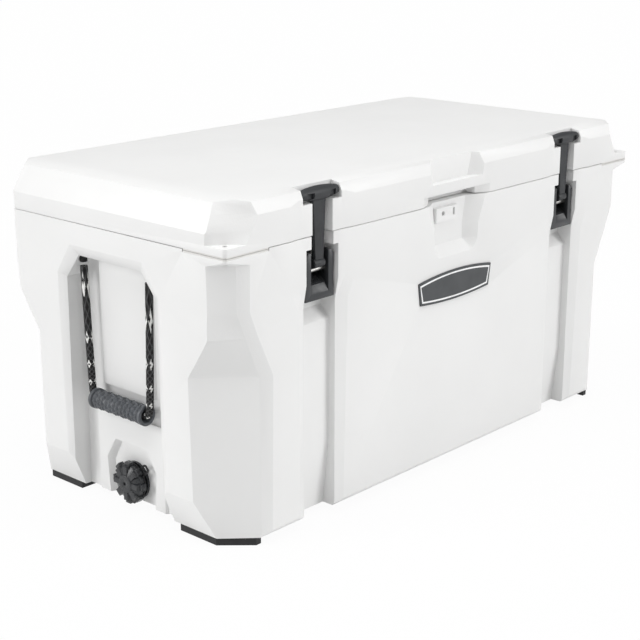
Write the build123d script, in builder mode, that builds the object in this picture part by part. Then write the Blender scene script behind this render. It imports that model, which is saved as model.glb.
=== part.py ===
"""Hard-sided cooler chest: insulated tub, hinged lid, two lid latches, drain and rope handles.

Millimetres.  X runs along the length, the front faces -Y, Z is up.  The origin is on the
floor, under the middle of the chest.
"""

import math
import os

from build123d import *

os.makedirs("parts", exist_ok=True)

# ---------------------------------------------------------------- overall sizes
LENGTH = 1050.0
DEPTH = 520.0
PARTING_HEIGHT = 460.0      # floor to the plane where lid and tub meet
LID_HEIGHT = 75.0           # parting plane to the top of the lid
FOOT_HEIGHT = 12.0
PARTING_GAP = 1.5

HALF_LENGTH = LENGTH / 2
HALF_DEPTH = DEPTH / 2
TUB_TOP = PARTING_HEIGHT - PARTING_GAP / 2
LID_BOTTOM = PARTING_HEIGHT + PARTING_GAP / 2
LID_TOP = PARTING_HEIGHT + LID_HEIGHT
OUTSIDE = 30.0              # how far cutters reach past the outer faces

# ---------------------------------------------------------------- tub
END_DRAFT = 5.0             # how much each end leans in from rim to base
SIDE_DRAFT = 3.0
SHOULDER_TOP = 88.0         # corner shoulders, measured down from the parting plane
SHOULDER_MIDDLE = 128.0
SHOULDER_FOOT = 193.0
END_CHAMFER_RISE = 60.0
END_CHAMFER_INSET = 24.0
SIDE_CHAMFER = 10.0
FACET_SLOPE = 1.85          # run per rise of the second, shallower corner facet
TAB_TIP_DROP = 7.0          # thickness of the tub's corner tab at its tip
TAB_ROOT_DROP = 18.0
TAB_TIP_RADIUS = 7.0

# hand recess in each end
RECESS_DEPTH = 40.0
RIM_BEVEL_DEPTH = 8.5
RIM_TOP_DROP = 33.0
RIM_SHOULDER_DROP = 83.0
RIM_TOP_HALF = 86.0
RIM_SHOULDER_HALF = 122.0
RIM_BASE_HALF = 134.0
WELL_TOP_DROP = 53.0
WELL_SHOULDER_DROP = 92.0
WELL_TOP_HALF = 73.0
WELL_SHOULDER_HALF = 104.0
WELL_BASE_HALF = 108.0
PANEL_RISE = 6.0            # raised panel behind the rope handle
PANEL_HALF = 57.0
PANEL_FOOT_DROP = 262.0
PLINTH_RISE = 4.0           # raised block round the drain
PLINTH_HALF = 78.0
PLINTH_TOP_DROP = 306.0

# latch channels in the front
LATCH_OFFSET = 323.5        # latch centres from the middle
CHANNEL_SHALLOW_DEPTH = 2.5
CHANNEL_OUTER_HALF = 70.0
CHANNEL_INNER_HALF = 50.0
CHANNEL_BREAK_TOP = 73.0
CHANNEL_BREAK_FOOT = 107.0
CHANNEL_LOW_OUTER_HALF = 56.0
CHANNEL_LOW_INNER_HALF = 36.0
CHANNEL_LOW_DEPTH = 9.0
SLOT_HALF = 35.0
SLOT_DEPTH = 22.0
SLOT_SWEEP_RISE = 108.0
SLOT_SWEEP_DEPTH = 13.0
POCKET_DEPTH = 38.0
POCKET_TOP_DROP = 20.0
POCKET_FOOT_DROP = 121.0
POCKET_LEDGE_DROP = 140.0
NECK_HALF = 24.0            # slot above the keeper where the strap comes down

# centre recess below the lid's thumb lip
CENTRE_PLATE_DEPTH = 17.0
CENTRE_PLATE_DROP = 72.0
CENTRE_FOOT_DROP = 91.0
BOSS_RISE = 7.0
BOSS_HOLE_RADIUS = 4.0

# insulation and liner
LINER_HALF_LENGTH = 440.0   # outside of the liner at its rim
LINER_HALF_DEPTH = 190.0
LINER_DRAFT = 9.0
LINER_WALL = 4.0
LINER_FLOOR = 70.0
FLANGE_WIDTH = 14.0
SKIN = 6.0                  # thinnest outer skin round the foam
SUMP_FLOOR = 28.0
SUMP_LENGTH = 46.0
SUMP_HALF = 34.0

# ---------------------------------------------------------------- lid
END_BAND = 28.0             # upright band at each end of the lid
SIDE_BAND = 51.0            # upright band along the front and back
SLOPE_TOP = 69.5
END_SLOPE_INSET = 22.0
SIDE_SLOPE_INSET = 7.5
CROWN_END_INSET = 62.0
CROWN_SIDE_INSET = 40.0
LID_TAB_THICKNESS = 12.0
LID_SKIN = 8.0
LID_FOAM_END_INSET = 42.0
LID_FOAM_FRONT_INSET = 38.0
LID_FOAM_BACK_INSET = 30.0
PLUG_CLEARANCE = 7.0
PLUG_DROP = 28.0
LID_PANEL = 8.0
GASKET_WIDTH = 8.0
GASKET_GROOVE = 4.0
GASKET_CLEARANCE = 0.3
LIP_TOP = 33.0              # thumb lip in the middle of the lid's front
LIP_FOOT = 15.0
LIP_RECESS_DEPTH = 15.5
FINGER_DEPTH = 30.0
FINGER_HALF = 62.0

# ---------------------------------------------------------------- rear hinge
HINGE_SETBACK = 10.0        # hinge axis from the back face
HINGE_RELIEF = 20.0         # legs of the 45 degree reliefs above and below the axis
HINGE_OFFSET = 300.0
KNUCKLE_RADIUS = 7.0
HINGE_PIN_RADIUS = 3.0
RUNNING_FIT = 0.05
HINGE_HALF = 42.0
KNUCKLE_HALF = 14.0
KNUCKLE_GAP = 0.5
LEAF_THICKNESS = 3.0
LEAF_PROUD = 1.0
LEAF_DROP = 74.0
LEAF_RISE = 46.0
HINGE_Y = HALF_DEPTH - HINGE_SETBACK

# ---------------------------------------------------------------- latches
LATCH_AXIS_DEPTH = 12.5     # axis of the T-head behind the front face
LATCH_AXIS_RISE = 60.0
HEAD_HALF = 40.0
HEAD_RADIUS = 11.0
HEAD_END_RADIUS = 7.0
HEAD_CLEARANCE = 0.8
LATCH_PIN_RADIUS = 2.5
LATCH_PIN_BITE = 8.0
STRAP_TOP_HALF = 14.0
STRAP_FOOT_HALF = 8.5
STRAP_THICKNESS = 8.0
STRAP_FOOT_DROP = 40.0
HOOK_RADIUS = 7.0
HOOK_HALF = 11.0
HEAD_POCKET_HALF = HEAD_HALF + 2.0
NOTCH_HALF = 22.0
NOTCH_DEPTH = 21.0
KEEPER_HALF = 31.5
KEEPER_FACE = 8.0
KEEPER_TOP_DROP = 28.0
KEEPER_FOOT_DROP = 101.0
KEEPER_BACK = 4.0
WINDOW_HALF = 19.0
WINDOW_FOOT_DROP = 79.0
CATCH_BAR_RADIUS = 3.5
CATCH_BAR_DEPTH = 22.0
CATCH_BAR_DROP = 58.0
SCREW_RADIUS = 2.0
SCREW_HEAD_RADIUS = 4.0

# ---------------------------------------------------------------- lock plates and badge
PLATE_THICKNESS = 2.5
PLATE_REACH = 86.0
PLATE_SEAT = 4.0
PLATE_CLEARANCE = 1.0
PLATE_HOLE_RADIUS = 4.5
PLATE_HOLE_INSET = 16.0
BADGE_TOP_HALF = 98.0
BADGE_FOOT_HALF = 92.0
BADGE_TOP_DROP = 123.0
BADGE_FOOT_DROP = 161.0
BADGE_TOP_BULGE = 8.0
BADGE_FOOT_BULGE = 5.0
ORNAMENT_PROUD = 1.0        # how far the badge's border stands out of the front
BADGE_SEAT = 1.5
BORDER_INSET = 4.0
BORDER_WIDTH = 2.6
BORDER_DEPTH = 0.8
BADGE_PROUD = 0.8
BADGE_EDGE = 0.3           # gap round the badge in its seat

# ---------------------------------------------------------------- drain
DRAIN_HEIGHT = 45.0
DRAIN_POCKET_DEPTH = 46.0
SPOUT_RADIUS = 12.0
SPOUT_BORE = 7.0
SPOUT_STEM_RADIUS = 10.0
DRAIN_FIT = 0.5
NUT_RADIUS = 15.0
NUT_THICKNESS = 6.0
WASHER_THICKNESS = 2.0
SPOUT_FLANGE_RADIUS = 31.0
SPOUT_FLANGE = 4.0
CAP_FACE = 20.0             # cap's face behind the end face of the tub
CAP_BACK = 36.0
CAP_FACE_RADIUS = 15.0
CAP_RADIUS = 30.0
CAP_LUG_RADIUS = 34.5
CAP_LUG_WIDTH = 11.0
CAP_LUG_START = 6.0         # behind the cap's face
CAP_LUGS = 8
CAP_CLEARANCE = 0.4
THREAD_START = 24.0
SEAL_RADIUS = 22.0
TETHER_THICKNESS = 2.0

# ---------------------------------------------------------------- rope handles
ROPE_RADIUS = 6.0
ROPE_DEPTH = 20.0           # rope's plane behind the end face
ROPE_TOP_HALF = 76.0
SWING_DROP = 72.0           # swing axis below the parting plane
GRIP_DROP = 285.0
GRIP_HALF = 61.0
GRIP_RADIUS = 13.5
GRIP_FLANGE_RADIUS = 16.5
GRIP_FLANGE = 6.0
GRIP_CLEARANCE = 0.8
GRIP_BORE = ROPE_RADIUS + GRIP_CLEARANCE
GRIP_MOUTH = 12.0           # flared mouth of the grip, where the rope turns in
GRIP_FLARE = 9.0
ROPE_HOLE_CLEARANCE = 1.5

KNOT_DROP = 30.0
KNOT_RADIUS = 10.0
KNOT_HEIGHT = 16.0
KNOT_CLEARANCE = 0.85       # under the stub, so the raised rope clears it

# ---------------------------------------------------------------- feet
FOOT_END_INSET = 29.0
FOOT_LENGTH = 140.0
FOOT_WIDTH = 34.0


# ================================================================ helpers
def prism(plane, points, amount, both=False):
    """A straight prism over a closed outline."""
    with BuildPart() as solid:
        with BuildSketch(plane):
            with BuildLine():
                Polyline(*points, close=True)
            make_face()
        extrude(amount=amount, both=both)
    return solid.part


def stack(sections):
    """A solid with straight sides through one outline at each plane."""
    with BuildPart() as solid:
        for plane, points in sections:
            with BuildSketch(plane):
                with BuildLine():
                    Polyline(*points, close=True)
                make_face()
        loft(ruled=True)
    return solid.part


def block(x_range, y_range, z_range):
    """A box between two corners."""
    size = [high - low for low, high in (x_range, y_range, z_range)]
    centre = [(high + low) / 2 for low, high in (x_range, y_range, z_range)]
    with BuildPart() as solid:
        with Locations(tuple(centre)):
            Box(*size)
    return solid.part


def level(z):
    return Plane.XY.offset(z)


def below(drop):
    """Height of a point that lies drop below the parting plane."""
    return PARTING_HEIGHT - drop


def corner_points(side_x, side_y, pairs):
    """Points given inward from one vertical corner of the chest."""
    return [(side_x * (HALF_LENGTH - u), side_y * (HALF_DEPTH - v)) for u, v in pairs]


def front_points(centre_x, pairs):
    """Points given along X from a centre, and inward from the front face."""
    return [(centre_x + u, -HALF_DEPTH + v) for u, v in pairs]


def write(part, name):
    part.label = name
    export_step(part, f"parts/{name}.step")


# ================================================================ tub: outer form
def two_facets(kink_u, kink_v, main_reach):
    """Corner outline: a 45 degree facet and a shallower one towards the front."""
    return [
        (-OUTSIDE, -OUTSIDE),
        (kink_u + FACET_SLOPE * (kink_v + OUTSIDE), -OUTSIDE),
        (kink_u, kink_v),
        (-OUTSIDE, main_reach),
    ]


UPPER_FACETS = two_facets(30, 10, 40 + OUTSIDE)
MIDDLE_FACETS = two_facets(47, 10, 42 + OUTSIDE * 0.7)
LOWER_FACETS = two_facets(76, 11, 87 + OUTSIDE)
TAB_FACETS = two_facets(0.3, 0.3, 0.6 + OUTSIDE)


def tub_corner(side_x, side_y):
    """What is cut off a vertical corner of the tub; the front ones keep a lock tab."""
    heights = [
        (below(SHOULDER_TOP), UPPER_FACETS),
        (below(SHOULDER_MIDDLE), MIDDLE_FACETS),
        (below(SHOULDER_FOOT), LOWER_FACETS),
        (FOOT_HEIGHT - 1, LOWER_FACETS),
    ]
    if side_y < 0:
        heights = [(below(TAB_TIP_DROP), TAB_FACETS), (below(TAB_ROOT_DROP), UPPER_FACETS)] + heights
    else:
        heights = [(TUB_TOP + 1, UPPER_FACETS)] + heights
    return stack([(level(z), corner_points(side_x, side_y, pairs)) for z, pairs in reversed(heights)])


def hand_recess(side):
    """Bevelled, six-sided opening and the well behind it."""
    def outline(depth, top_drop, shoulder_drop, top_half, shoulder_half, base_half):
        plane = Plane.YZ.offset(side * (HALF_LENGTH - depth))
        return plane, [
            (-top_half, below(top_drop)),
            (top_half, below(top_drop)),
            (shoulder_half, below(shoulder_drop)),
            (base_half, -1),
            (-base_half, -1),
            (-shoulder_half, below(shoulder_drop)),
        ]

    rim = outline(-1, RIM_TOP_DROP, RIM_SHOULDER_DROP, RIM_TOP_HALF, RIM_SHOULDER_HALF, RIM_BASE_HALF)
    well = (WELL_TOP_DROP, WELL_SHOULDER_DROP, WELL_TOP_HALF, WELL_SHOULDER_HALF, WELL_BASE_HALF)
    mouth = outline(RIM_BEVEL_DEPTH, *well)
    floor = outline(RECESS_DEPTH, *well)
    order = [rim, mouth, floor] if side < 0 else [floor, mouth, rim]
    return stack(order)


def raised_slab(side, half, rise, low, high):
    """A slab with bevelled sides standing on the floor of a hand recess."""
    floor_x = HALF_LENGTH - RECESS_DEPTH
    outline = [
        (side * (floor_x - 1), -half - rise),
        (side * (floor_x - 1), half + rise),
        (side * floor_x, half + rise),
        (side * (floor_x + rise), half),
        (side * (floor_x + rise), -half),
        (side * floor_x, -half - rise),
    ]
    return prism(level(low), outline, high - low)


def hand_panels(side):
    """The raised panel behind the grip and the plinth below it."""
    return [
        raised_slab(side, PANEL_HALF, PANEL_RISE, below(PANEL_FOOT_DROP), below(WELL_TOP_DROP) + 1),
        raised_slab(side, PLINTH_HALF, PLINTH_RISE, FOOT_HEIGHT, below(PLINTH_TOP_DROP)),
    ]


def latch_channel(centre_x):
    """Shallow recess round the latch, the deeper channel below it and the keeper's pocket."""
    def trapezoid(outer, inner, depth):
        flare = (outer - inner) / depth
        start = outer + flare * 3
        return front_points(centre_x, [(-start, -3), (start, -3), (inner, depth), (-inner, depth)])

    shallow = trapezoid(CHANNEL_OUTER_HALF, CHANNEL_INNER_HALF, CHANNEL_SHALLOW_DEPTH)
    deep = trapezoid(CHANNEL_LOW_OUTER_HALF, CHANNEL_LOW_INNER_HALF, CHANNEL_LOW_DEPTH)
    form = stack([
        (level(0), deep),
        (level(below(CHANNEL_BREAK_FOOT)), deep),
        (level(below(CHANNEL_BREAK_TOP)), shallow),
        (level(TUB_TOP + 1), shallow),
    ])
    side = [
        (-HALF_DEPTH - 3, 0),
        (-HALF_DEPTH - 3, below(POCKET_TOP_DROP)),
        (-HALF_DEPTH + POCKET_DEPTH, below(POCKET_TOP_DROP)),
        (-HALF_DEPTH + POCKET_DEPTH, below(POCKET_FOOT_DROP)),
        (-HALF_DEPTH + SLOT_DEPTH, below(POCKET_LEDGE_DROP)),
        (-HALF_DEPTH + SLOT_DEPTH, FOOT_HEIGHT + SLOT_SWEEP_RISE),
        (-HALF_DEPTH + SLOT_DEPTH + SLOT_SWEEP_DEPTH, 0),
    ]
    slot = prism(Plane.YZ.offset(centre_x), side, SLOT_HALF, both=True)
    neck = block(
        (centre_x - NECK_HALF, centre_x + NECK_HALF),
        (-HALF_DEPTH - 3, -HALF_DEPTH + POCKET_DEPTH),
        (below(POCKET_TOP_DROP) - 1, TUB_TOP + 1),
    )
    return [form, slot, neck]


def centre_recess():
    """Recess in the tub below the lid's thumb lip, with a sloping floor."""
    def section(drop, front_half, plate_half, depth):
        return level(below(drop)), front_points(
            0, [(-front_half, -5), (front_half, -5), (plate_half, depth), (-plate_half, depth)]
        )

    return stack([
        section(CENTRE_FOOT_DROP + 1.1, 58, 45, -1),
        section(CENTRE_PLATE_DROP, 65, 37, CENTRE_PLATE_DEPTH),
        section(45, 67, 36, CENTRE_PLATE_DEPTH),
        section(-1, 88, 44, CENTRE_PLATE_DEPTH),
    ])


def centre_boss():
    """Moulded boss with a hole and a slot beside it, inside the centre recess."""
    face = CENTRE_PLATE_DEPTH - BOSS_RISE
    body = block(
        (-42, 14), (-HALF_DEPTH + face, -HALF_DEPTH + CENTRE_PLATE_DEPTH + 1), (below(34), below(10))
    )
    with BuildPart() as hole:
        with BuildSketch(Plane.XZ.offset(HALF_DEPTH)):
            with Locations((-24, below(20))):
                Circle(BOSS_HOLE_RADIUS)
            with Locations((4, below(20))):
                Rectangle(5, 12)
        extrude(amount=-(CENTRE_PLATE_DEPTH + 4))
    return body, hole.part


def hinge_relief(side_z):
    """Wedge cut along the back edge, above or below the hinge axis, so that the lid can turn."""
    base = PARTING_HEIGHT + side_z * PARTING_GAP / 2
    start = HALF_DEPTH - HINGE_RELIEF
    return prism(
        Plane.YZ,
        [
            (start, base - side_z * 2),
            (start, base),
            (HALF_DEPTH + 2, base + side_z * (HINGE_RELIEF + 2)),
            (HALF_DEPTH + 2, base - side_z * 2),
        ],
        HALF_LENGTH + 1,
        both=True,
    )


def lock_plate_outline(side_x):
    """Chevron that follows the two faces of a front corner."""
    reach = PLATE_REACH
    pairs = [
        (0.8, 4), (0.8, reach), (7, reach), (14, reach - 18), (30, 40),
        (40, 30), (reach - 18, 14), (reach, 7), (reach, 0.8), (4, 0.8),
    ]
    return corner_points(side_x, -1, pairs)


def badge_solid(inset, near, far):
    """Badge form with bowed top and foot, between two depths behind the front face."""
    top = below(BADGE_TOP_DROP + inset)
    foot = below(BADGE_FOOT_DROP - inset)
    top_half = BADGE_TOP_HALF - inset
    foot_half = BADGE_FOOT_HALF - inset
    with BuildPart() as solid:
        with BuildSketch(Plane.XZ.offset(HALF_DEPTH - near)):
            with BuildLine():
                ThreePointArc((-top_half, top), (0, top + BADGE_TOP_BULGE), (top_half, top))
                Line((top_half, top), (foot_half, foot))
                ThreePointArc((foot_half, foot), (0, foot - BADGE_FOOT_BULGE), (-foot_half, foot))
                Line((-foot_half, foot), (-top_half, top))
            make_face()
        extrude(amount=near - far)
    return solid.part


def octagon_pocket():
    """Eight-sided pocket round the drain, open at the base."""
    points = [
        (-38, DRAIN_HEIGHT + 63), (38, DRAIN_HEIGHT + 63), (60, DRAIN_HEIGHT + 28),
        (54, -1), (-54, -1), (-60, DRAIN_HEIGHT + 28),
    ]
    inner = [(y * 0.86, z - 7 if z > 0 else z) for y, z in points]
    return stack([
        (Plane.YZ.offset(-HALF_LENGTH + RECESS_DEPTH - PLINTH_RISE - 1), points),
        (Plane.YZ.offset(-HALF_LENGTH + DRAIN_POCKET_DEPTH), inner),
    ])


def rope_holes(side):
    """Upright holes in the ceiling of a hand recess, and the knot chambers above them."""
    with BuildPart() as holes:
        for end in (-1, 1):
            with Locations((side * (HALF_LENGTH - ROPE_DEPTH), end * ROPE_TOP_HALF, below(WELL_TOP_DROP))):
                Cylinder(ROPE_RADIUS + ROPE_HOLE_CLEARANCE, 40)
            with Locations((side * (HALF_LENGTH - ROPE_DEPTH), end * ROPE_TOP_HALF, below(KNOT_DROP) + 0.5)):
                Cylinder(KNOT_RADIUS + ROPE_HOLE_CLEARANCE, KNOT_HEIGHT + 1)
    return holes.part


def base_chamfers(inset):
    """Wedges along the foot of the ends and sides, moved inward for the foam."""
    cutters = []
    for side in (-1, 1):
        top = HALF_LENGTH - END_DRAFT + 1 - inset
        rise = END_CHAMFER_RISE / END_CHAMFER_INSET
        end = [
            (side * (top + 40), FOOT_HEIGHT + END_CHAMFER_RISE + 40 * rise),
            (side * (top - END_CHAMFER_INSET - 4), FOOT_HEIGHT - 4 * rise),
            (side * (top + 40), FOOT_HEIGHT - 4 * rise),
        ]
        cutters.append(prism(Plane.XZ, end, HALF_DEPTH + 1, both=True))
        edge = HALF_DEPTH - SIDE_DRAFT - inset
        across = [
            (side * (edge + 20), FOOT_HEIGHT + SIDE_CHAMFER + 20),
            (side * (edge - SIDE_CHAMFER - 4), FOOT_HEIGHT - 4),
            (side * (edge + 20), FOOT_HEIGHT - 4),
        ]
        cutters.append(prism(Plane.YZ, across, HALF_LENGTH + 1, both=True))
    return cutters


# ================================================================ tub: foam, liner and shell
FOAM_END = HALF_LENGTH - END_DRAFT - SKIN
FOAM_SIDE = HALF_DEPTH - SIDE_DRAFT - SKIN
FOAM_TOP = TUB_TOP - HINGE_RELIEF - SKIN
FOAM_BASE = FOOT_HEIGHT + SKIN
FOAM_CORNER = 96.0 + SKIN
RIM_SHELF = TUB_TOP - LINER_WALL


def span(first, second):
    return (min(first, second), max(first, second))


def foam_space():
    """The hollow of the tub's outer shell, kept clear of every recess."""
    with BuildPart() as space:
        add(block((-FOAM_END, FOAM_END), (-FOAM_SIDE, FOAM_SIDE), (FOAM_BASE, FOAM_TOP)))
        for side_x in (-1, 1):
            for side_y in (-1, 1):
                triangle = corner_points(side_x, side_y, [(0, 0), (FOAM_CORNER, 0), (0, FOAM_CORNER)])
                add(prism(level(0), triangle, TUB_TOP), mode=Mode.SUBTRACT)
            well = HALF_LENGTH - RECESS_DEPTH - SKIN
            well_half = RIM_BASE_HALF + SKIN
            add(
                block(span(side_x * well, side_x * HALF_LENGTH), (-well_half, well_half), (0, TUB_TOP)),
                mode=Mode.SUBTRACT,
            )
            pocket = -HALF_DEPTH + POCKET_DEPTH + SKIN
            centre_x = side_x * LATCH_OFFSET
            half = CHANNEL_LOW_OUTER_HALF + SKIN
            add(
                block((centre_x - half, centre_x + half), (-HALF_DEPTH, pocket), (0, TUB_TOP)),
                mode=Mode.SUBTRACT,
            )
        plate = -HALF_DEPTH + CENTRE_PLATE_DEPTH + SKIN
        add(block((-84, 84), (-HALF_DEPTH, plate), (below(CENTRE_FOOT_DROP + SKIN), TUB_TOP)),
            mode=Mode.SUBTRACT)
        drain_wall = -HALF_LENGTH + DRAIN_POCKET_DEPTH + SKIN
        add(block((-HALF_LENGTH, drain_wall), (-70, 70), (0, DRAIN_HEIGHT + 76)), mode=Mode.SUBTRACT)
        for cutter in base_chamfers(SKIN):
            add(cutter, mode=Mode.SUBTRACT)
    return space.part


def liner_form(inset, floor):
    """Tapered tub of the liner, with the sump in front of the drain."""
    def ring(z, shrink):
        half_x = LINER_HALF_LENGTH - inset - shrink
        half_y = LINER_HALF_DEPTH - inset - shrink
        return level(z), [(-half_x, -half_y), (half_x, -half_y), (half_x, half_y), (-half_x, half_y)]

    base = LINER_FLOOR - floor
    sump_end = -LINER_HALF_LENGTH + LINER_DRAFT + inset
    with BuildPart() as form:
        add(stack([ring(base, LINER_DRAFT), ring(TUB_TOP + 1, 0)]))
        add(block(
            (sump_end, sump_end + SUMP_LENGTH - 2 * inset),
            (-SUMP_HALF + inset, SUMP_HALF - inset),
            (SUMP_FLOOR - floor, base + 20),
        ))
    return form.part


TUB_FOAM_SPACE = foam_space()
LINER_OUTSIDE = liner_form(0, LINER_WALL)
LINER_INSIDE = liner_form(LINER_WALL, 0)
LINER_FLANGE = block(
    (-LINER_HALF_LENGTH - FLANGE_WIDTH, LINER_HALF_LENGTH + FLANGE_WIDTH),
    (-LINER_HALF_DEPTH - FLANGE_WIDTH, LINER_HALF_DEPTH + FLANGE_WIDTH),
    (RIM_SHELF, TUB_TOP),
)
DRAIN_PLANE = Plane(origin=(-HALF_LENGTH, 0, DRAIN_HEIGHT), x_dir=(0, -1, 0), z_dir=(1, 0, 0))
SUMP_WALL = LINER_HALF_LENGTH - LINER_DRAFT
DRAIN_REACH = HALF_LENGTH - SUMP_WALL + LINER_WALL


def drain_cylinder(radius, start, end):
    """A round solid on the drain's axis, between two depths behind the end face."""
    with BuildPart() as solid:
        with BuildSketch(DRAIN_PLANE.offset(start)):
            Circle(radius)
        extrude(amount=end - start)
    return solid.part


def ring_on_drain(outer, inner, start, end):
    with BuildPart() as solid:
        with BuildSketch(DRAIN_PLANE.offset(start)):
            Circle(outer)
            Circle(inner, mode=Mode.SUBTRACT)
        extrude(amount=end - start)
    return solid.part


# ================================================================ seats shared by several pieces
KEEPER_SCREWS = [(-10, 37), (10, 37), (-10, 53), (10, 53)]
HINGE_SCREW_X = 28.0
TUB_LEAF_SCREWS = [below(36), below(60)]
LID_LEAF_SCREWS = [PARTING_HEIGHT + 26, PARTING_HEIGHT + 39]
LEAF_FACE = HALF_DEPTH + LEAF_PROUD
LEAF_BACK = LEAF_FACE - LEAF_THICKNESS
LOCK_PLATE_FLOOR = TUB_TOP - PLATE_SEAT
HEAD_Y = -HALF_DEPTH + LATCH_AXIS_DEPTH
HEAD_Z = PARTING_HEIGHT + LATCH_AXIS_RISE
HEAD_POCKET_REACH = HEAD_RADIUS + HEAD_CLEARANCE


def cylinder_along(axis_plane, radius, start, end):
    """A round solid along a plane's normal, between two offsets."""
    with BuildPart() as solid:
        with BuildSketch(axis_plane.offset(start)):
            Circle(radius)
        extrude(amount=end - start)
    return solid.part


def along_x(y, z):
    return Plane(origin=(0, y, z), x_dir=(0, 1, 0), z_dir=(1, 0, 0))


def along_y(x, z):
    return Plane(origin=(x, 0, z), x_dir=(1, 0, 0), z_dir=(0, 1, 0))


def lock_plate_seat(side):
    """Step in the tub's rim for the plates, and the padlock hole through the tab."""
    hole_x, hole_y = corner_points(side, -1, [(PLATE_HOLE_INSET, PLATE_HOLE_INSET)])[0]
    with BuildPart() as seat:
        add(prism(level(LOCK_PLATE_FLOOR), plate_seat_outline(side), PLATE_SEAT + 1))
        with Locations((hole_x, hole_y, PARTING_HEIGHT)):
            Cylinder(PLATE_HOLE_RADIUS, 60)
    return seat.part


def plate_seat_outline(side_x):
    """The plates' outline with clearance round its inner edge, open past both faces."""
    reach = PLATE_REACH + PLATE_CLEARANCE
    edge = 7 + PLATE_CLEARANCE
    inner = 40 + PLATE_CLEARANCE
    pairs = [
        (-2, -2), (-2, reach), (edge, reach), (edge + 7, reach - 18), (inner - 10, inner),
        (inner, inner - 10), (reach - 18, edge + 7), (reach, edge), (reach, -2),
    ]
    return corner_points(side_x, -1, pairs)


def keeper_screw_solid(centre_x):
    """Four pan-head screws from the keeper's back wall into the tub."""
    wall = -HALF_DEPTH + POCKET_DEPTH - KEEPER_BACK
    with BuildPart() as screws:
        for x, drop in KEEPER_SCREWS:
            line = along_y(centre_x + x, below(drop))
            add(cylinder_along(line, SCREW_RADIUS, wall - 1, wall + KEEPER_BACK + SKIN - 0.5))
            add(cylinder_along(line, SCREW_HEAD_RADIUS, wall - 2, wall))
    return screws.part


def hinge_screw_solid(centre_x, heights, inner_y):
    """Flat-head screws through one hinge leaf."""
    with BuildPart() as screws:
        for x in (-HINGE_SCREW_X, HINGE_SCREW_X):
            for z in heights:
                line = along_y(centre_x + x, z)
                add(cylinder_along(line, SCREW_RADIUS, inner_y, LEAF_FACE - 1))
                add(cylinder_along(line, SCREW_HEAD_RADIUS, LEAF_FACE - 1.5, LEAF_FACE))
    return screws.part


TUB_SCREW_END = FOAM_SIDE + 0.5
LID_SCREW_END = HALF_DEPTH - LID_FOAM_BACK_INSET + 12.0


def hinge_leaf_seat(centre_x, side_z):
    """Shallow seat for a hinge leaf in the back face, with its screw holes."""
    low = below(LEAF_DROP) if side_z < 0 else PARTING_HEIGHT + 12
    high = below(12) if side_z < 0 else PARTING_HEIGHT + LEAF_RISE
    with BuildPart() as seat:
        add(block((centre_x - HINGE_HALF, centre_x + HINGE_HALF), (LEAF_BACK, HALF_DEPTH + 2), (low, high)))
        if side_z < 0:
            add(hinge_screw_solid(centre_x, TUB_LEAF_SCREWS, TUB_SCREW_END))
        else:
            add(hinge_screw_solid(centre_x, LID_LEAF_SCREWS, LID_SCREW_END))
    return seat.part


FOOT_BASE_END = FOOT_HEIGHT + SKIN - 0.5
FOOT_OUTLINE = [
    (FOOT_END_INSET, FOOT_LENGTH), (FOOT_END_INSET, 61), (70, 17), (80, 17), (80, 45),
    (FOOT_END_INSET + FOOT_WIDTH, FOOT_LENGTH),
]


def foot_screw(side_x, side_y):
    """Two screws up through one foot, heads sunk in its underside."""
    with BuildPart() as screws:
        for u, v in ((FOOT_END_INSET + FOOT_WIDTH / 2, FOOT_LENGTH - 25), (66, 35)):
            x, y = corner_points(side_x, side_y, [(u, v)])[0]
            line = Plane(origin=(x, y, 0), x_dir=(1, 0, 0), z_dir=(0, 0, 1))
            add(cylinder_along(line, SCREW_RADIUS, 4, FOOT_BASE_END))
            add(cylinder_along(line, SCREW_HEAD_RADIUS, 3, 5))
    return screws.part


def tip_rounding(side_x, low, high):
    """Rounds the sharp tip of a front corner's lock tab."""
    radius = TAB_TIP_RADIUS
    corner = corner_points(side_x, -1, [(-1, -1), (radius, -1), (radius, radius), (-1, radius)])
    centre_x, centre_y = corner_points(side_x, -1, [(radius, radius)])[0]
    with BuildPart() as cutter:
        add(prism(level(low), corner, high - low))
        with Locations((centre_x, centre_y, (low + high) / 2)):
            Cylinder(radius, high - low + 2, mode=Mode.SUBTRACT)
    return cutter.part


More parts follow.
